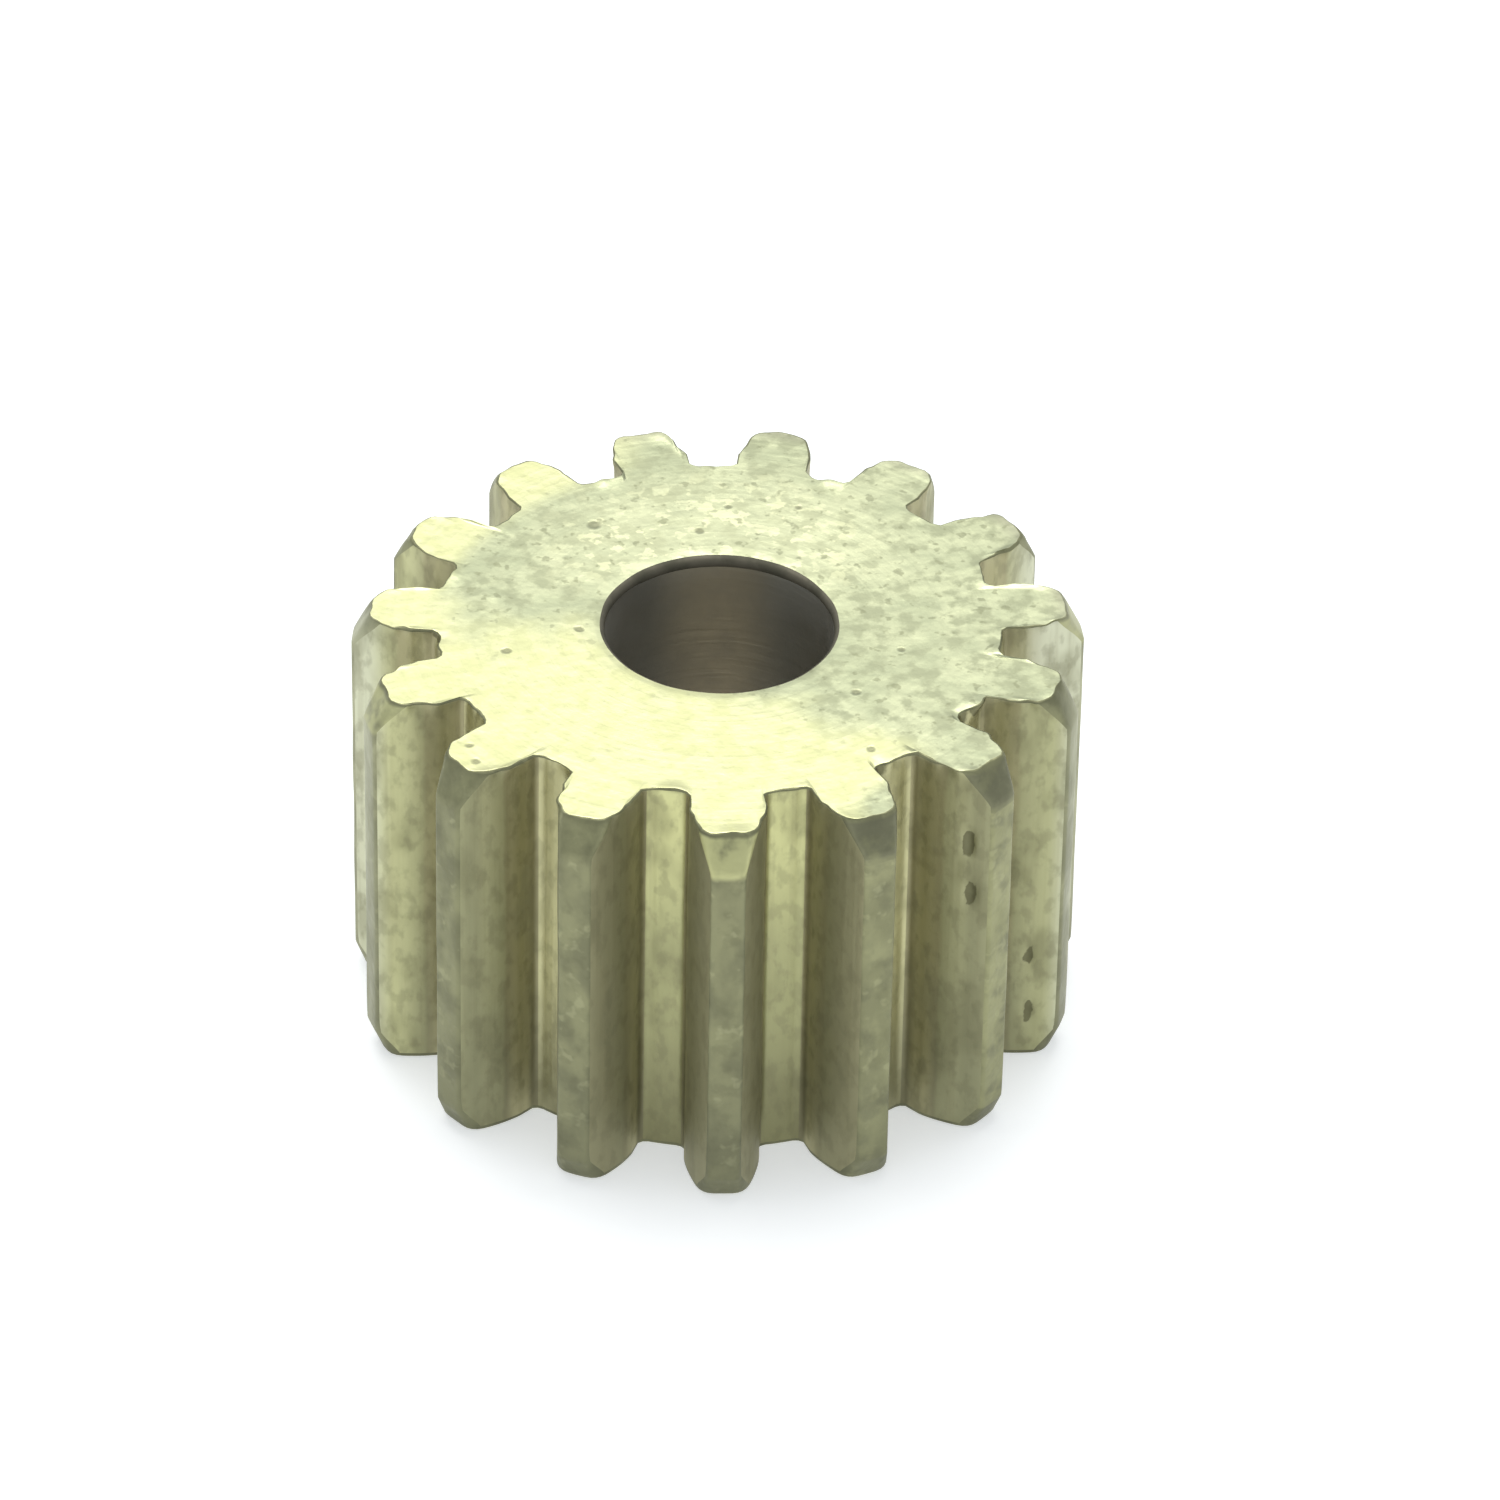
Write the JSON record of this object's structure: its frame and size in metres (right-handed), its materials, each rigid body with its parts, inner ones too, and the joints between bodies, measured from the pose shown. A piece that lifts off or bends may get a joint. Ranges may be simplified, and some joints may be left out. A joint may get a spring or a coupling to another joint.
{
  "type": "spur gear",
  "caption": "Small one-piece pinion with straight involute teeth, chamfered tooth ends and a plain round through bore.",
  "frame": {"origin": "on the bore axis, at the bottom face", "axes": "+Z along the bore axis towards the top face; -Y along the centre of one tooth"},
  "size_m": [0.0102, 0.0101, 0.0061],
  "materials": {
    "brass": "machined and dull, with a slight green-grey tarnish"
  },
  "bodies": {
    "root": {"pinion_gear": "brass"}
  },
  "joints": []
}
